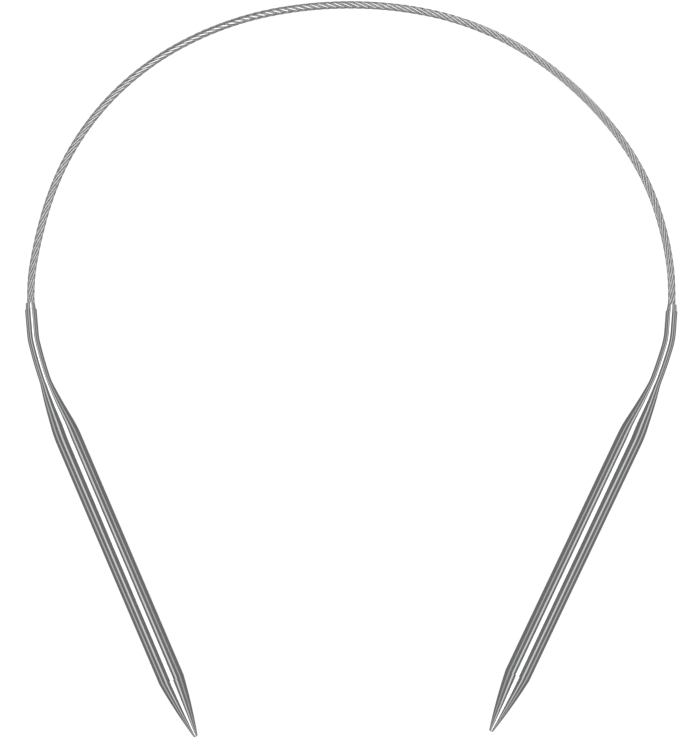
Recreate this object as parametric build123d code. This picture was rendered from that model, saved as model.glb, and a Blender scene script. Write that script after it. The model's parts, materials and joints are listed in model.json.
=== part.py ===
from build123d import *
import math
import os

# Circular knitting needle, 5.5 mm (US 9), 40 cm from point to point.
# It lies flat on the floor z = 0. The points face -Y, the cable's loop faces +Y. All sizes in mm.

# ---- driving dimensions: needle ----
SHAFT_D = 5.5            # the needle's stated size
SHAFT_WALL = 0.4         # tube wall in the parallel part
SHAFT_L = 60.9           # rear face to the point's base, taper included
TAPER_SLOPE = 0.1358     # radius lost per length, the same on the shaft's taper and the neck's flare
TAPER_BLEND_R = 29.0     # rounding where taper and parallel part meet
REAR_BORE_L = 3.5        # length of the narrow bore that grips the neck
POINT_L = 13.0           # length of the tapered point outside the tube
POINT_MID = (1.97, 5.35)     # radius and height of a point on the cone's slightly rounded side
POINT_END_R = 0.42       # the point ends in a small flat
POINT_END_ROUND = 0.12   # rounding of that flat's edge
SPIGOT_L = 6.0           # plug inside the tube
SPIGOT_GAP = 0.01        # radial gap left round the pressed spigot

# ---- driving dimensions: neck ----
NECK_D = 2.45            # outside of the bent tube
NECK_BORE_D = 2.10
# Each neck is bent by hand, so the two differ a little: straight length behind the mouth, then
# two bends as (centre-line radius, degrees), the second one up to the shaft's rear face.
LEFT_BENDS = (5.14, (12.8, 8.8), (92.6, 9.5))
RIGHT_BENDS = (4.29, (15.7, 12.3), (96.0, 8.8))
FLARE_L = 7.73           # the tube flares out over this last length
FLARE_BLEND_L = 1.8      # start of the flare, where its slope grows from nothing
FLARE_STEPS = 8          # sections that the flare is skinned through
NECK_INSERT_L = 7.0      # length hidden in the shaft
NECK_GAP = 0.01          # radial gap left round the brazed neck
LIP_BORE_D = 1.95        # the mouth is rolled in to this bore
LIP_L = 0.6

# ---- driving dimensions: sleeve ----
SLEEVE_HEAD_D = 2.05     # turns in the neck's bore
SLEEVE_GROOVE_D = 1.90   # turns in the rolled lip
SLEEVE_BORE_D = 1.64     # crimped on the cable
SLEEVE_L = 3.2           # length inside the neck
NOSE_D = 2.10            # nose at the mouth
NOSE_END_D = 1.78        # nose at the cable
NOSE_L = 1.4
SLEEVE_SHAKE = 0.03      # play along the axis, each way

# ---- driving dimensions: cable ----
CABLE_D = 1.6
CORE_D = 0.53
CORE_GAP = 0.01          # radial gap between the core and the outer strands

# ---- where the needles lie ----
AXIS_Z = SHAFT_D / 2     # the shafts rest on the floor
LEFT_MOUTH = (-67.106, 44.0)
RIGHT_MOUTH = (67.2, 43.65)
LEFT_LEAN = 4.82         # degrees that the mouth leans outwards
RIGHT_LEAN = 4.29

# ---- the cable's route, from inside the left sleeve to inside the right one ----
ROUTE = [
    (-66.8371, 40.8113, 2.75),
    (-67.4421, 47.9858, 2.75),
    (-65.92, 57.76, 2.55),
    (-62.90, 68.82, 2.05),
    (-58.10, 78.88, 1.55),
    (-51.08, 88.17, 1.15),
    (-42.36, 95.78, 0.92),
    (-32.45, 101.49, 0.83),
    (-21.87, 105.42, 0.80),
    (-10.96, 107.52, 0.80),
    (0.00, 108.19, 0.80),
    (10.97, 107.47, 0.80),
    (21.81, 105.23, 0.80),
    (32.21, 101.10, 0.83),
    (41.76, 95.10, 0.92),
    (50.33, 87.57, 1.15),
    (57.73, 78.69, 1.55),
    (63.08, 68.90, 2.05),
    (66.37, 57.61, 2.55),
    (67.4992, 47.6388, 2.75),
    (66.9606, 40.4590, 2.75),
]
BEND_SHARE = 0.45        # share of the shorter run that a bend takes at each side

# ---- worked out: the neck's flare and the shaft's taper are one cone ----
REAR_R = NECK_D / 2 + TAPER_SLOPE * (FLARE_L - FLARE_BLEND_L / 2)
TAPER_L = (SHAFT_D / 2 - REAR_R) / TAPER_SLOPE


def lathe(profile):
    """Revolve a closed (radius, height) outline about the Z axis."""
    face = make_face(Polyline(*[(r, 0, h) for r, h in profile], close=True))
    return revolve(face, Axis.Z)


def neck_path(straight_l, tight_bend, gentle_bend):
    """Centre line of a neck: mouth at the origin, tube running down -Y and bending towards +X.

    Returns the edges of its plain part, and the edge of its flare.
    """
    radius, turn = gentle_bend
    flare_turn = math.degrees(FLARE_L / radius)
    straight = Line((0, 0), (0, -straight_l))
    tight = JernArc(straight @ 1, straight % 1, *tight_bend)
    gentle = JernArc(tight @ 1, tight % 1, radius, turn - flare_turn)
    flare = JernArc(gentle @ 1, gentle % 1, radius, flare_turn)
    return [straight, tight, gentle], flare


def along(origin, heading):
    """Location whose +Z runs along a heading in the XY plane."""
    x, y = tuple(heading)[:2]
    return Plane(origin=tuple(origin)[:2], x_dir=(-y, x, 0), z_dir=(x, y, 0)).location


def flare_radius(distance):
    """Outside radius of the neck at a distance past the start of its flare."""
    if distance < FLARE_BLEND_L:
        return NECK_D / 2 + TAPER_SLOPE * distance**2 / (2 * FLARE_BLEND_L)
    return NECK_D / 2 + TAPER_SLOPE * (distance - FLARE_BLEND_L / 2)


def make_flare(arc):
    sections = []
    for step in range(FLARE_STEPS):
        share = step / (FLARE_STEPS - 1)
        section = along(arc @ share, arc % share) * Circle(flare_radius(share * FLARE_L))
        sections.append(section)
    return loft(sections)


def make_neck(plain, arc):
    """Bent tube: the plain part, the flare on its arc, and the length that sits inside the shaft."""
    insert = Line(arc @ 1, (arc @ 1) + (arc % 1) * NECK_INSERT_L)
    mouth = Plane(origin=(0, 0, 0), z_dir=(0, -1, 0))
    outside = sweep(mouth * Circle(NECK_D / 2), path=Wire([edge.edge() for edge in plain]))
    outside += make_flare(arc)
    outside += along(arc @ 1, arc % 1) * Pos(0, 0, NECK_INSERT_L / 2) * Cylinder(NECK_D / 2, NECK_INSERT_L)
    whole = Wire([edge.edge() for edge in [*plain, arc, insert]])
    inside = sweep(mouth * Circle(NECK_BORE_D / 2), path=whole)
    front = along((0, 0), (0, -1)) * Pos(0, 0, LIP_L / 2)
    inside -= front * Cylinder(NECK_D, LIP_L)
    return outside - inside - front * Cylinder(LIP_BORE_D / 2, LIP_L)


def make_shaft():
    """Tube with its rear face at z = 0 and its open front end at z = SHAFT_L."""
    radius = SHAFT_D / 2
    outline = Polyline(
        (0, 0, 0),
        (REAR_R, 0, 0),
        (radius, 0, TAPER_L),
        (radius, 0, SHAFT_L),
        (0, 0, SHAFT_L),
        close=True,
    )
    face = make_face(outline)
    face = fillet(face.vertices().sort_by_distance((radius, 0, TAPER_L))[0], TAPER_BLEND_R)
    body = revolve(face, Axis.Z)
    grip = NECK_D / 2 + NECK_GAP
    hollow = lathe([
        (0, -1),
        (grip, -1),
        (grip, REAR_BORE_L),
        (radius - SHAFT_WALL, TAPER_L + 1.5),
        (radius - SHAFT_WALL, SHAFT_L + 1),
        (0, SHAFT_L + 1),
    ])
    return body - hollow


def make_point():
    """Point with its base at z = 0 and its end at z = POINT_L."""
    base_r = SHAFT_D / 2
    spigot_r = base_r - SHAFT_WALL - SPIGOT_GAP
    side = ThreePointArc((base_r, 0, 0), (POINT_MID[0], 0, POINT_MID[1]), (POINT_END_R, 0, POINT_L))
    rest = Polyline(
        (POINT_END_R, 0, POINT_L),
        (0, 0, POINT_L),
        (0, 0, -SPIGOT_L),
        (spigot_r - 0.3, 0, -SPIGOT_L),
        (spigot_r, 0, -SPIGOT_L + 0.5),
        (spigot_r, 0, 0),
        (base_r, 0, 0),
    )
    face = make_face(side.edges() + rest.edges())
    end_corner = face.vertices().sort_by_distance((POINT_END_R, 0, POINT_L))[0]
    return revolve(fillet(end_corner, POINT_END_ROUND), Axis.Z)


def make_sleeve():
    """Sleeve with the neck's mouth at z = 0 and its nose towards +Z."""
    bore = SLEEVE_BORE_D / 2
    head = SLEEVE_HEAD_D / 2
    groove = SLEEVE_GROOVE_D / 2
    return lathe([
        (bore, -SLEEVE_L),
        (head - 0.06, -SLEEVE_L),
        (head, -SLEEVE_L + 0.15),
        (head, -LIP_L - SLEEVE_SHAKE),
        (groove, -LIP_L - SLEEVE_SHAKE),
        (groove, SLEEVE_SHAKE),
        (NOSE_D / 2 - 0.03, SLEEVE_SHAKE),
        (NOSE_D / 2, SLEEVE_SHAKE + 0.08),
        (NOSE_END_D / 2 + 0.04, NOSE_L - 0.08),
        (NOSE_END_D / 2, NOSE_L),
        (bore, NOSE_L),
    ])


def needle_pieces(bends):
    """The four pieces of one needle, with the mouth at the origin and the axis in the XY plane."""
    plain, flare = neck_path(*bends)
    rear_face = flare @ 1
    heading = flare % 1
    base = rear_face + heading * SHAFT_L
    return {
        "sleeve": along((0, 0), (0, 1)) * make_sleeve(),
        "neck": make_neck(plain, flare),
        "shaft": along(rear_face, heading) * make_shaft(),
        "point": along(base, heading) * make_point(),
    }


def route_radii(points):
    """Radius of each bend: it takes BEND_SHARE of the shorter run beside it."""
    radii = []
    for a, b, c in zip(points, points[1:], points[2:]):
        before = Vector(*b) - Vector(*a)
        after = Vector(*c) - Vector(*b)
        turn = math.radians(before.get_angle(after))
        radii.append(BEND_SHARE * min(before.length, after.length) / math.tan(turn / 2))
    return radii


def cable_path(points):
    return FilletPolyline(*points, radius=route_radii(points))


def rod_along(path, radius):
    """Round rod along a path."""
    start = Plane(origin=path @ 0, z_dir=path % 0)
    return sweep(start * Circle(radius), path=path)


def save(node, shape):
    export_step(shape, "parts/" + node + ".step")
    print(node, "volume", round(shape.volume, 3), "solids", len(shape.solids()))


os.makedirs("parts", exist_ok=True)

left_place = Pos(LEFT_MOUTH[0], LEFT_MOUTH[1], AXIS_Z) * Rot(0, 0, LEFT_LEAN)
right_place = Pos(RIGHT_MOUTH[0], RIGHT_MOUTH[1], AXIS_Z) * Rot(0, 0, -RIGHT_LEAN) * Rot(0, 180, 0)
for piece, shape in needle_pieces(LEFT_BENDS).items():
    save("left_" + piece, left_place * shape)
for piece, shape in needle_pieces(RIGHT_BENDS).items():
    save("right_" + piece, right_place * shape)

cable = cable_path(ROUTE)
core = rod_along(cable, CORE_D / 2)
strands = rod_along(cable, CABLE_D / 2) - rod_along(cable, CORE_D / 2 + CORE_GAP)
save("cable_core", core)
save("cable_strands", strands)

core_area = math.pi * CORE_D**2 / 4
ring_area = math.pi * (CABLE_D**2 - (CORE_D + 2 * CORE_GAP) ** 2) / 4
print("cable length", round(cable.length, 2))
print("bend radii", [round(r, 1) for r in route_radii(ROUTE)])
print("core volume / (section x length)", round(core.volume / (core_area * cable.length), 4))
print("strands volume / (section x length)", round(strands.volume / (ring_area * cable.length), 4))
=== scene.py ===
import json
import math

import bmesh
import bpy
from mathutils import Matrix, Vector


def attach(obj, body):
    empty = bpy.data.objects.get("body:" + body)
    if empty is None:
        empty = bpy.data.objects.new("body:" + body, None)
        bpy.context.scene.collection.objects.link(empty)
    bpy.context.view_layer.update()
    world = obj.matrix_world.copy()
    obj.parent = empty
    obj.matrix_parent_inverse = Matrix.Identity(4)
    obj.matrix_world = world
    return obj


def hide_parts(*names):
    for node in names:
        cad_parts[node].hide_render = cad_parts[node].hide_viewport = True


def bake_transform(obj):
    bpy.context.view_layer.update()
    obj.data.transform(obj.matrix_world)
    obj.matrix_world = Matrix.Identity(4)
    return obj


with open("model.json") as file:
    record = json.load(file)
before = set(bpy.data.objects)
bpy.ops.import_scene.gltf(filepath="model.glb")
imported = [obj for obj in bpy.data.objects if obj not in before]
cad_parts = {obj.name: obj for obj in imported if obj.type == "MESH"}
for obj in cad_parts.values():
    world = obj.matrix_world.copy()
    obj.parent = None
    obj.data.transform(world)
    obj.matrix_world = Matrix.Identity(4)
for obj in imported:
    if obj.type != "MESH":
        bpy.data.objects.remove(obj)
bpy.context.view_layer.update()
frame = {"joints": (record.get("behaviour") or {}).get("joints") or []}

# Circular knitting needle, 5.5 mm, lying on the floor z = 0: points towards -Y, cable's loop towards +Y.
# The sizes below repeat the CAD model's driving dimensions, in millimetres.
MM = 0.001

SHAFT_R = 2.75
SHAFT_WALL = 0.4
SHAFT_L = 60.9
TAPER_SLOPE = 0.1358
TAPER_BLEND_R = 29.0
POINT_L = 13.0
POINT_END_R = 0.42
POINT_END_ROUND = 0.12
POINT_MID = (1.97, 5.35)     # radius and height of a point on the tip's curved side
SPIGOT_L = 6.0
SPIGOT_GAP = 0.01
SPIGOT_CHAMFER = (0.3, 0.5)  # radius and height
GRIP_L = 3.5                 # length of the shaft's rear bore that grips the neck
BORE_RUNOUT = 1.5            # from the taper's end to the full bore

NECK_R = 1.225
NECK_BORE_R = 1.05
# Each neck: straight length behind the mouth, then two bends as (centre-line radius, degrees).
BENDS = {"left": (5.14, (12.8, 8.8), (92.6, 9.5)), "right": (4.29, (15.7, 12.3), (96.0, 8.8))}
FLARE_L = 7.73
FLARE_BLEND_L = 1.8
NECK_INSERT_L = 7.0
NECK_GAP = 0.01
LIP_BORE_R = 0.975
LIP_L = 0.6
LIP_ROUND = 0.07

SLEEVE_HEAD_R = 1.025
SLEEVE_GROOVE_R = 0.95
SLEEVE_BORE_R = 0.82
SLEEVE_L = 3.2
SLEEVE_SHAKE = 0.03
SLEEVE_CHAMFER = (0.06, 0.15)    # radius and height
NOSE_R = 1.05
NOSE_END_R = 0.89
NOSE_L = 1.4
NOSE_EDGE = (0.03, 0.08)     # radius and height of the broken edge at its wide end
NOSE_END_EDGE = (0.04, 0.08) # the same at its narrow end

CORE_R = 0.265
STRAND_R = 0.2675
STRANDS = 6
ROPE_LAY = 9.9               # length of one turn of a strand round the core, right-hand
WIRE_LAY = 5.2               # length of one turn of the wires in a strand, left-hand
WIRES = 6
WIRE_DEPTH = 0.22            # depth of the hollows between wires, as a share of the strand's radius

# The cable's route from inside the left sleeve to inside the right one, in millimetres.
ROUTE = [
    (-66.8371, 40.8113, 2.75),
    (-67.4421, 47.9858, 2.75),
    (-65.92, 57.76, 2.55),
    (-62.90, 68.82, 2.05),
    (-58.10, 78.88, 1.55),
    (-51.08, 88.17, 1.15),
    (-42.36, 95.78, 0.92),
    (-32.45, 101.49, 0.83),
    (-21.87, 105.42, 0.80),
    (-10.96, 107.52, 0.80),
    (0.00, 108.19, 0.80),
    (10.97, 107.47, 0.80),
    (21.81, 105.23, 0.80),
    (32.21, 101.10, 0.83),
    (41.76, 95.10, 0.92),
    (50.33, 87.57, 1.15),
    (57.73, 78.69, 1.55),
    (63.08, 68.90, 2.05),
    (66.37, 57.61, 2.55),
    (67.4992, 47.6388, 2.75),
    (66.9606, 40.4590, 2.75),
]

# Worked out: the neck's flare and the shaft's taper are one cone.
REAR_R = NECK_R + TAPER_SLOPE * (FLARE_L - FLARE_BLEND_L / 2)
TAPER_L = (SHAFT_R - REAR_R) / TAPER_SLOPE
TAPER_ANGLE = math.atan(TAPER_SLOPE)

AROUND = 128                 # mesh points round a turned or bent piece
NECK_STEPS_PER_MM = 4        # mesh steps along a neck
STRAND_AROUND = 24           # mesh points round a strand
STRAND_STATIONS = 640        # mesh steps along an outer strand
CORE_STATIONS = 320          # mesh steps along the core strand

FRAME_HEIGHT = 155.5         # millimetres that the picture's height covers, at the needles' height
VIEW_CENTRE = (-2.41, 31.06)     # what the camera is straight above, in millimetres


# ---------------------------------------------------------------- camera

def make_camera():
    """Long lens straight above, framed as the photograph is."""
    lens, sensor = 150.0, 36.0
    centre = Vector((VIEW_CENTRE[0] * MM, VIEW_CENTRE[1] * MM, SHAFT_R * MM))
    data = bpy.data.cameras.new("camera")
    data.lens = lens
    data.sensor_width = sensor
    data.clip_start = 0.01
    data.clip_end = 20.0
    camera = bpy.data.objects.new("camera", data)
    camera.location = centre + Vector((0, 0, FRAME_HEIGHT * MM * lens / sensor))
    bpy.context.scene.collection.objects.link(camera)
    bpy.context.scene.camera = camera


# ---------------------------------------------------------------- mesh helpers

def tube_faces(rings, first, along, loop):
    """Faces and UVs that join each ring of points to the next one. A ring of one point is a pole."""
    starts = []
    for ring in rings:
        starts.append(first)
        first += len(ring)
    count = max(len(ring) for ring in rings)
    faces = []
    corners = []
    pairs = [(i, i + 1) for i in range(len(rings) - 1)]
    if loop:
        pairs.append((len(rings) - 1, 0))
    for i, k in pairs:
        for j in range(count):
            face = []
            for ring, step in ((i, j), (i, j + 1), (k, j + 1), (k, j)):
                place = step % count if len(rings[ring]) > 1 else 0
                if starts[ring] + place not in face:
                    face.append(starts[ring] + place)
                    corners.append((along[ring], step / count))
            faces.append(face)
    return faces, corners


def skin(name, tubes, along, loop=False, crease_deg=30.0):
    """One smooth mesh over tubes of rings. along is each ring's place along its tube, in metres."""
    points, faces, corners = [], [], []
    for rings in tubes:
        more_faces, more_corners = tube_faces(rings, len(points), along, loop)
        faces += more_faces
        corners += more_corners
        points += [point for ring in rings for point in ring]
    mesh = bpy.data.meshes.new(name)
    mesh.from_pydata(points, [], faces)
    layer = mesh.uv_layers.new(name="UVMap")
    for item, uv in zip(layer.data, corners):
        item.uv = uv
    work = bmesh.new()
    work.from_mesh(mesh)
    bmesh.ops.recalc_face_normals(work, faces=work.faces)
    work.to_mesh(mesh)
    work.free()
    mesh.shade_smooth()
    mesh.set_sharp_from_angle(angle=math.radians(crease_deg))
    piece = bpy.data.objects.new(name, mesh)
    bpy.context.scene.collection.objects.link(piece)
    return piece


def circle(centre, side, up, radius, count=AROUND):
    """Ring of points; side x up is the direction the ring faces."""
    ring = []
    for j in range(count):
        angle = 2 * math.pi * j / count
        ring.append(centre + (side * math.cos(angle) + up * math.sin(angle)) * radius)
    return ring


def lathe(name, profile):
    """Closed (radius, height) outline in millimetres, turned about the local Z axis."""
    side, up = Vector((1, 0, 0)), Vector((0, 1, 0))
    rings = []
    for radius, height in profile:
        centre = Vector((0, 0, height * MM))
        if radius < 1e-9:
            rings.append([centre])
        else:
            rings.append(circle(centre, side, up, radius * MM))
    heights = [height * MM for _, height in profile]
    return skin(name, [rings], heights, loop=len(rings[0]) > 1)


def arc(centre, radius, start_deg, end_deg, steps):
    """Points (radius, height) of an arc, both ends included."""
    points = []
    for i in range(steps + 1):
        angle = math.radians(start_deg + (end_deg - start_deg) * i / steps)
        points.append((centre[0] + radius * math.cos(angle), centre[1] + radius * math.sin(angle)))
    return points


# ---------------------------------------------------------------- needle pieces

def neck_steps(run):
    """Number of steps that a run of a neck, in millimetres, is divided into."""
    return max(2, round(run * NECK_STEPS_PER_MM))


def neck_line(side):
    """Centre line of a neck in its own frame, mouth at the origin: (x, y, heading, length so far)."""
    x, y, heading, length = 0.0, 0.0, 0.0, 0.0
    line = [(x, y, heading, length)]
    straight, tight, gentle = BENDS[side]
    parts = [(None, straight), tight, gentle, (None, NECK_INSERT_L)]
    for radius, size in parts:
        run = size if radius is None else radius * math.radians(size)
        steps = neck_steps(run)
        turn = 0.0 if radius is None else math.radians(size) / steps
        for _ in range(steps):
            chord = run / steps if radius is None else 2 * radius * math.sin(turn / 2)
            x += chord * math.sin(heading + turn / 2)
            y -= chord * math.cos(heading + turn / 2)
            heading += turn
            length += run / steps
            line.append((x, y, heading, length))
    return line


def neck_radius(distance, rear):
    """Outside radius at a distance from the mouth, with the flare up to the shaft's rear face."""
    past = distance - (rear - FLARE_L)
    if past <= 0 or distance > rear + 1e-6:
        return NECK_R
    if past < FLARE_BLEND_L:
        return NECK_R + TAPER_SLOPE * past**2 / (2 * FLARE_BLEND_L)
    return NECK_R + TAPER_SLOPE * (past - FLARE_BLEND_L / 2)


def rear_face(side):
    """Place and heading of the shaft's rear face in the neck's frame."""
    x, y, heading, _ = neck_line(side)[-1 - neck_steps(NECK_INSERT_L)]
    return x, y, heading


def make_neck(name):
    """Bent tube with a rolled lip at its mouth and a flare that meets the shaft's taper."""
    line = neck_line(name.split("_")[0])
    up = Vector((0, 0, 1))
    rear_length = line[-1][3] - NECK_INSERT_L

    def ring(x, y, heading, radius):
        side = Vector((math.cos(heading), math.sin(heading), 0))
        return circle(Vector((x * MM, y * MM, 0)), side, up, radius * MM)

    rings = [ring(0, 0, 0, LIP_BORE_R), ring(0, 0, 0, NECK_R - LIP_ROUND)]
    along = [0.0, 0.0]
    for step in range(1, 5):
        angle = math.radians(90 * step / 4)
        inset = LIP_ROUND * (1 - math.sin(angle))
        rings.append(ring(0, -LIP_ROUND * (1 - math.cos(angle)), 0, NECK_R - inset))
        along.append(0.0)
    for x, y, heading, length in line[1:]:
        rings.append(ring(x, y, heading, neck_radius(length, rear_length)))
        along.append(length * MM)
        if abs(length - rear_length) < 1e-6:
            rings.append(ring(x, y, heading, NECK_R))
            along.append(length * MM)
    for x, y, heading, length in reversed(line[1:]):
        if length > LIP_L:
            rings.append(ring(x, y, heading, NECK_BORE_R))
            along.append(length * MM)
    for radius in (NECK_BORE_R, LIP_BORE_R):
        rings.append(ring(0, -LIP_L, 0, radius))
        along.append(LIP_L * MM)
    return skin(name, [rings], along, loop=True)


def make_shaft(name):
    """Tube with its rear face at z = 0; the neck's insert fills its narrow rear bore."""
    tangent = TAPER_BLEND_R * math.tan(TAPER_ANGLE / 2)
    blend_centre = (SHAFT_R - TAPER_BLEND_R, TAPER_L + tangent)
    taper_deg = math.degrees(TAPER_ANGLE)
    grip = NECK_R + NECK_GAP
    bore = SHAFT_R - SHAFT_WALL
    profile = [(grip, 0), (REAR_R, 0)]
    profile += arc(blend_centre, TAPER_BLEND_R, -taper_deg, 0, 24)
    profile += [(SHAFT_R, SHAFT_L), (bore, SHAFT_L), (bore, TAPER_L + BORE_RUNOUT), (grip, GRIP_L)]
    return lathe(name, profile)


def circle_through(a, b, c):
    """Centre of the circle through three (radius, height) points."""
    ax, ay = a[0] - c[0], a[1] - c[1]
    bx, by = b[0] - c[0], b[1] - c[1]
    double_area = 2 * (ax * by - ay * bx)
    sa, sb = ax * ax + ay * ay, bx * bx + by * by
    return c[0] + (by * sa - ay * sb) / double_area, c[1] + (ax * sb - bx * sa) / double_area


def make_point(name):
    """Plug of the tube's end with the slightly rounded cone on it; its base is at z = 0."""
    base, end = (SHAFT_R, 0.0), (POINT_END_R, POINT_L)
    centre = circle_through(base, POINT_MID, end)
    radius = math.dist(centre, base)
    start_deg = math.degrees(math.atan2(base[1] - centre[1], base[0] - centre[0]))
    end_deg = math.degrees(math.atan2(end[1] - centre[1], end[0] - centre[0]))
    cone = [p for p in arc(centre, radius, start_deg, end_deg, 48) if p[1] < POINT_L - POINT_END_ROUND]
    corner = arc((POINT_END_R - POINT_END_ROUND, POINT_L - POINT_END_ROUND), POINT_END_ROUND, 10, 90, 6)
    spigot = SHAFT_R - SHAFT_WALL - SPIGOT_GAP
    inset, height = SPIGOT_CHAMFER
    profile = [(0, -SPIGOT_L), (spigot - inset, -SPIGOT_L), (spigot, -SPIGOT_L + height), (spigot, 0)]
    profile += cone + corner + [(0, POINT_L)]
    return lathe(name, profile)


def make_sleeve(name):
    """Sleeve crimped on the cable, with the neck's mouth at z = 0 and its nose towards +Z."""
    return lathe(name, [
        (SLEEVE_BORE_R, -SLEEVE_L),
        (SLEEVE_HEAD_R - SLEEVE_CHAMFER[0], -SLEEVE_L),
        (SLEEVE_HEAD_R, -SLEEVE_L + SLEEVE_CHAMFER[1]),
        (SLEEVE_HEAD_R, -LIP_L - SLEEVE_SHAKE),
        (SLEEVE_GROOVE_R, -LIP_L - SLEEVE_SHAKE),
        (SLEEVE_GROOVE_R, SLEEVE_SHAKE),
        (NOSE_R - NOSE_EDGE[0], SLEEVE_SHAKE),
        (NOSE_R, SLEEVE_SHAKE + NOSE_EDGE[1]),
        (NOSE_END_R + NOSE_END_EDGE[0], NOSE_L - NOSE_END_EDGE[1]),
        (NOSE_END_R, NOSE_L),
        (SLEEVE_BORE_R, NOSE_L),
    ])


def needle_frame(side):
    """Matrix of a needle's own frame (mouth at the origin, tube down -Y, bend towards the middle)."""
    joint = next(j for j in frame["joints"] if j["name"] == side + "_twist")
    outward = Vector(joint["axis"]).normalized()
    mirror = 1 if side == "left" else -1
    up = Vector((0, 0, mirror))
    across = outward.cross(up)
    turn = Matrix((across, outward, up)).transposed().to_4x4()
    return Matrix.Translation(Vector(joint["pos_m"])) @ turn


def along_heading(x, y, heading):
    """Matrix whose +Z runs along a heading in the needle's frame."""
    forward = Vector((math.sin(heading), -math.cos(heading), 0))
    side = Vector((math.cos(heading), math.sin(heading), 0))
    up = forward.cross(side)
    turn = Matrix((side, up, forward)).transposed().to_4x4()
    return Matrix.Translation(Vector((x * MM, y * MM, 0))) @ turn


def make_needle(side, steel, sleeve_steel):
    """The four metal pieces of one needle, each in the place of its CAD node."""
    base = needle_frame(side)
    x, y, heading = rear_face(side)
    tip_x = x + math.sin(heading) * SHAFT_L
    tip_y = y - math.cos(heading) * SHAFT_L
    places = {
        "sleeve": (make_sleeve, along_heading(0, 0, math.pi), side + "_end", sleeve_steel, "sleeve_steel"),
        "neck": (make_neck, Matrix.Identity(4), side + "_needle", steel, "needle_steel"),
        "shaft": (make_shaft, along_heading(x, y, heading), side + "_needle", steel, "needle_steel"),
        "point": (make_point, along_heading(tip_x, tip_y, heading), side + "_needle", steel, "needle_steel"),
    }
    made = {}
    for part, (build, place, body, material, slot) in places.items():
        piece = build(side + "_" + part + "_turned")
        piece.matrix_world = base @ place
        piece.data.materials.append(material)
        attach(piece, body)
        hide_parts(side + "_" + part)
        made[part] = piece
    return made


# ---------------------------------------------------------------- cable

def route_line():
    """Points of the cable's smooth centre line, read from a NURBS spline through the route."""
    data = bpy.data.curves.new("cable_route", "CURVE")
    data.dimensions = "3D"
    data.resolution_u = 32
    spline = data.splines.new("NURBS")
    spline.points.add(len(ROUTE) - 1)
    for point, place in zip(spline.points, ROUTE):
        point.co = (place[0] * MM, place[1] * MM, place[2] * MM, 1)
    spline.order_u = 3
    spline.use_endpoint_u = True
    curve = bpy.data.objects.new("cable_route", data)
    bpy.context.scene.collection.objects.link(curve)
    bpy.context.view_layer.update()
    graph = bpy.context.evaluated_depsgraph_get()
    mesh = bpy.data.meshes.new_from_object(curve.evaluated_get(graph))
    line = [vertex.co.copy() for vertex in mesh.vertices]
    bpy.data.objects.remove(curve)
    bpy.data.meshes.remove(mesh)
    return line


def stations(line, count):
    """count + 1 evenly spaced (point, tangent, length so far) along a line of points."""
    lengths = [0.0]
    for a, b in zip(line, line[1:]):
        lengths.append(lengths[-1] + (b - a).length)
    found = []
    k = 0
    for i in range(count + 1):
        wanted = lengths[-1] * i / count
        while k < len(line) - 2 and lengths[k + 1] < wanted:
            k += 1
        share = (wanted - lengths[k]) / (lengths[k + 1] - lengths[k])
        found.append((line[k].lerp(line[k + 1], share), wanted))
    result = []
    for i, (point, length) in enumerate(found):
        ahead = found[min(i + 1, count)][0]
        behind = found[max(i - 1, 0)][0]
        result.append((point, (ahead - behind).normalized(), length))
    return result


def across_of(tangent):
    """Level direction and upward direction square to a tangent; side x up is the tangent's reverse."""
    side = tangent.cross(Vector((0, 0, 1))).normalized()
    return side, side.cross(tangent)


def wire_outline(turn):
    """Radius of a strand's outline as a share of the strand's, for a turn of 0 to 1 round it."""
    lobe = abs((turn * WIRES + 0.5) % 1.0 - 0.5) * 2
    return 1.0 - WIRE_DEPTH * lobe**2


def lobed_ring(centre, out, flank, radius, length):
    """Ring of a strand whose wires have wound on over a length in metres; radius in millimetres."""
    ring = []
    for j in range(STRAND_AROUND):
        turn = j / STRAND_AROUND
        reach = radius * MM * wire_outline(turn + length / (WIRE_LAY * MM))
        way = out * math.cos(2 * math.pi * turn) + flank * math.sin(2 * math.pi * turn)
        ring.append(centre + way * reach)
    return ring


def strand_rings(line, number):
    """Rings of one strand, laid right-hand round the core, with its wires laid left-hand."""
    rings = []
    rope = stations(line, STRAND_STATIONS)
    spin = 2 * math.pi / (ROPE_LAY * MM)
    phase = 2 * math.pi * number / STRANDS
    lay_r = (CORE_R + STRAND_R) * MM
    for point, tangent, length in rope:
        side, up = across_of(tangent)
        angle = phase - spin * length
        out = side * math.cos(angle) + up * math.sin(angle)
        sweep = (side * math.sin(angle) - up * math.cos(angle)) * (spin * lay_r)
        heading = (tangent + sweep).normalized()
        flank = heading.cross(out)
        rings.append(lobed_ring(point + out * lay_r, out, flank, STRAND_R, length))
    return rings, [length for _, _, length in rope]


def end_cap(rings):
    """The rings with a single point at each end, so that the strand is closed."""
    first = sum(rings[0], Vector()) / len(rings[0])
    last = sum(rings[-1], Vector()) / len(rings[-1])
    return [[first], *rings, [last]]


def make_cable(material):
    """Six lobed strands laid round a core strand."""
    line = route_line()
    strands = []
    for number in range(STRANDS):
        rings, along = strand_rings(line, number)
        strands.append(end_cap(rings))
    rope = skin("cable_rope", strands, [along[0], *along, along[-1]], crease_deg=60)
    core_rings = []
    core_stations = stations(line, CORE_STATIONS)
    for point, tangent, length in core_stations:
        side, up = across_of(tangent)
        core_rings.append(lobed_ring(point, side, -up, CORE_R, length))
    along = [length for _, _, length in core_stations]
    core = skin("cable_core_strand", [end_cap(core_rings)], [along[0], *along, along[-1]], crease_deg=60)
    for piece, node in ((rope, "cable_strands"), (core, "cable_core")):
        piece.data.materials.append(material)
        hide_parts(node)
        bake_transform(piece)
    length = sum((b - a).length for a, b in zip(line, line[1:]))


# ---------------------------------------------------------------- materials

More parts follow.
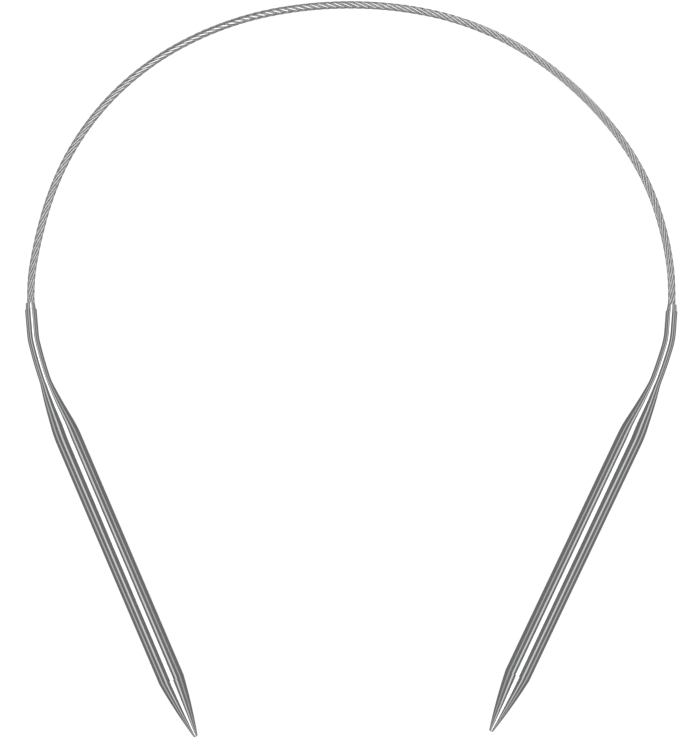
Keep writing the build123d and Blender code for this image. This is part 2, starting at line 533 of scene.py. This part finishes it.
def new_material(name):
    material = bpy.data.materials.new(name)
    material.use_nodes = True
    tree = material.node_tree
    return material, tree, tree.nodes["Principled BSDF"]


def add(tree, kind, **values):
    """New node with its inputs set by name."""
    node = tree.nodes.new(kind)
    for key, value in values.items():
        node.inputs[key.replace("_", " ")].default_value = value
    return node


def scratched_steel(name, colour, roughness, scale, depth):
    """Steel with fine scratches and a trace of uneven polish.

    scale is (per metre along the piece, per turn round it): the needles' scratches run along them and
    the sleeves' run round them.
    """
    material, tree, shader = new_material(name)
    link = tree.links.new
    shader.inputs["Metallic"].default_value = 1.0
    place = tree.nodes.new("ShaderNodeTexCoord")
    stretch = add(tree, "ShaderNodeMapping", Scale=(*scale, 1.0))
    link(place.outputs["UV"], stretch.inputs["Vector"])
    scratches = add(tree, "ShaderNodeTexNoise", Scale=1.0, Detail=6.0, Roughness=0.65)
    link(stretch.outputs["Vector"], scratches.inputs["Vector"])
    polish = add(tree, "ShaderNodeTexNoise", Scale=260.0, Detail=3.0)
    link(place.outputs["Object"], polish.inputs["Vector"])
    gloss = add(tree, "ShaderNodeMapRange", To_Min=roughness * 0.75, To_Max=roughness * 1.35)
    link(scratches.outputs["Fac"], gloss.inputs["Value"])
    link(gloss.outputs["Result"], shader.inputs["Roughness"])
    tint = tree.nodes.new("ShaderNodeValToRGB")
    tint.color_ramp.elements[0].position = 0.35
    tint.color_ramp.elements[0].color = (*[c * 0.96 for c in colour], 1)
    tint.color_ramp.elements[1].position = 0.65
    tint.color_ramp.elements[1].color = (*colour, 1)
    link(polish.outputs["Fac"], tint.inputs["Fac"])
    link(tint.outputs["Color"], shader.inputs["Base Color"])
    bump = add(tree, "ShaderNodeBump", Strength=depth, Distance=0.000002)
    link(scratches.outputs["Fac"], bump.inputs["Height"])
    link(bump.outputs["Normal"], shader.inputs["Normal"])
    return material


def rope_steel():
    """Drawn wire: rougher and mostly a little darker than the needles, with a fine grain."""
    material, tree, shader = new_material("rope_steel")
    link = tree.links.new
    shader.inputs["Metallic"].default_value = 1.0
    place = tree.nodes.new("ShaderNodeTexCoord")
    grain = add(tree, "ShaderNodeTexNoise", Scale=1.0, Detail=4.0)
    stretch = add(tree, "ShaderNodeMapping", Scale=(900.0, 24.0, 1.0))
    link(place.outputs["UV"], stretch.inputs["Vector"])
    link(stretch.outputs["Vector"], grain.inputs["Vector"])
    gloss = add(tree, "ShaderNodeMapRange", To_Min=0.16, To_Max=0.28)
    link(grain.outputs["Fac"], gloss.inputs["Value"])
    link(gloss.outputs["Result"], shader.inputs["Roughness"])
    tint = tree.nodes.new("ShaderNodeValToRGB")
    tint.color_ramp.elements[0].position = 0.3
    tint.color_ramp.elements[0].color = (0.70, 0.71, 0.72, 1)
    tint.color_ramp.elements[1].position = 0.7
    tint.color_ramp.elements[1].color = (0.82, 0.82, 0.82, 1)
    link(grain.outputs["Fac"], tint.inputs["Fac"])
    link(tint.outputs["Color"], shader.inputs["Base Color"])
    return material


# ---------------------------------------------------------------- floor and light

# Five even white panels that only the metal mirrors. Their places and levels aren't free choices: they come
# close to brightness readings of the photograph, averaged over both sides of a needle.
# Each is (strength, one long edge, other long edge), with the edges as (x, z) in metres. LOW reaches below
# the floor's level.
OVERHEAD = (1.6, (-0.075, 0.29), (0.075, 0.29))
SIDE = (0.75, (0.9, 1.12), (1.2, 0.87))
LOW = (0.55, (0.5, 0.06), (0.5, -0.09))
PANEL_HALF_LENGTH = 1.6
ROOM_LEVEL = 0.18            # even light that the metal mirrors everywhere else
FLOOR_LIGHT = 0.28           # even light on the floor
FLOOR_GLOW = 0.85            # keeps the floor white with only a faint shadow
FLOOR_HALF_SIZE = 3.0


def make_world():
    """Dim even room in the metal's reflections, and even light for the floor."""
    world = bpy.data.worlds.new("studio")
    bpy.context.scene.world = world
    world.use_nodes = True
    world.cycles.sampling_method = "NONE"
    tree = world.node_tree
    tree.nodes.clear()
    output = tree.nodes.new("ShaderNodeOutputWorld")
    room = add(tree, "ShaderNodeBackground", Color=(1, 1, 1, 1), Strength=ROOM_LEVEL)
    even = add(tree, "ShaderNodeBackground", Color=(1, 1, 1, 1), Strength=FLOOR_LIGHT)
    path = tree.nodes.new("ShaderNodeLightPath")
    mix = tree.nodes.new("ShaderNodeMixShader")
    tree.links.new(path.outputs["Is Glossy Ray"], mix.inputs["Fac"])
    tree.links.new(even.outputs["Background"], mix.inputs[1])
    tree.links.new(room.outputs["Background"], mix.inputs[2])
    tree.links.new(mix.outputs["Shader"], output.inputs["Surface"])


def panel(name, corners, material):
    """Flat four-cornered piece that isn't part of the object."""
    mesh = bpy.data.meshes.new(name)
    mesh.from_pydata(corners, [], [(0, 1, 2, 3)])
    mesh.materials.append(material)
    piece = bpy.data.objects.new(name, mesh)
    bpy.context.scene.collection.objects.link(piece)
    return piece


def make_floor():
    """Pale floor; the metal doesn't mirror it."""
    size = FLOOR_HALF_SIZE
    corners = [(-size, -size, 0), (size, -size, 0), (size, size, 0), (-size, size, 0)]
    material, tree, shader = new_material("floor")
    shader.inputs["Base Color"].default_value = (0.9, 0.9, 0.9, 1)
    shader.inputs["Roughness"].default_value = 1.0
    shader.inputs["Specular IOR Level"].default_value = 0.0
    shader.inputs["Emission Color"].default_value = (1, 1, 1, 1)
    shader.inputs["Emission Strength"].default_value = FLOOR_GLOW
    material.cycles.emission_sampling = "NONE"
    floor = panel("floor", corners, material)
    floor.visible_glossy = False


def softbox(name, settings, mirror=1):
    """Even white panel, long in Y, that only the metal mirrors. mirror is -1 for the one on the left."""
    strength, near, far = settings
    material = bpy.data.materials.new(name + "_light")
    material.use_nodes = True
    tree = material.node_tree
    tree.nodes.clear()
    output = tree.nodes.new("ShaderNodeOutputMaterial")
    glow = tree.nodes.new("ShaderNodeEmission")
    glow.inputs["Color"].default_value = (1, 1, 1, 1)
    glow.inputs["Strength"].default_value = strength
    tree.links.new(glow.outputs["Emission"], output.inputs["Surface"])
    material.cycles.emission_sampling = "NONE"
    corners = [
        (mirror * near[0], -PANEL_HALF_LENGTH, near[1]), (mirror * near[0], PANEL_HALF_LENGTH, near[1]),
        (mirror * far[0], PANEL_HALF_LENGTH, far[1]), (mirror * far[0], -PANEL_HALF_LENGTH, far[1]),
    ]
    box = panel(name, corners, material)
    box.visible_camera = False
    box.visible_diffuse = False
    box.visible_shadow = False


def make_lights():
    softbox("overhead", OVERHEAD)
    for side in (-1, 1):
        softbox("side" + str(side + 1), SIDE, side)
        softbox("low" + str(side + 1), LOW, side)


# ---------------------------------------------------------------- the scene

make_camera()
make_cable(rope_steel())
needle_steel = scratched_steel(
    "needle_steel_polished", colour=(0.80, 0.805, 0.81), roughness=0.08, scale=(60, 170), depth=0.2,
)
sleeve_steel = scratched_steel(
    "sleeve_steel_turned", colour=(0.86, 0.86, 0.86), roughness=0.16, scale=(9000, 12), depth=0.2,
)
for needle_side in ("left", "right"):
    make_needle(needle_side, needle_steel, sleeve_steel)
make_floor()
make_lights()
make_world()
bpy.context.scene.view_settings.view_transform = "Standard"
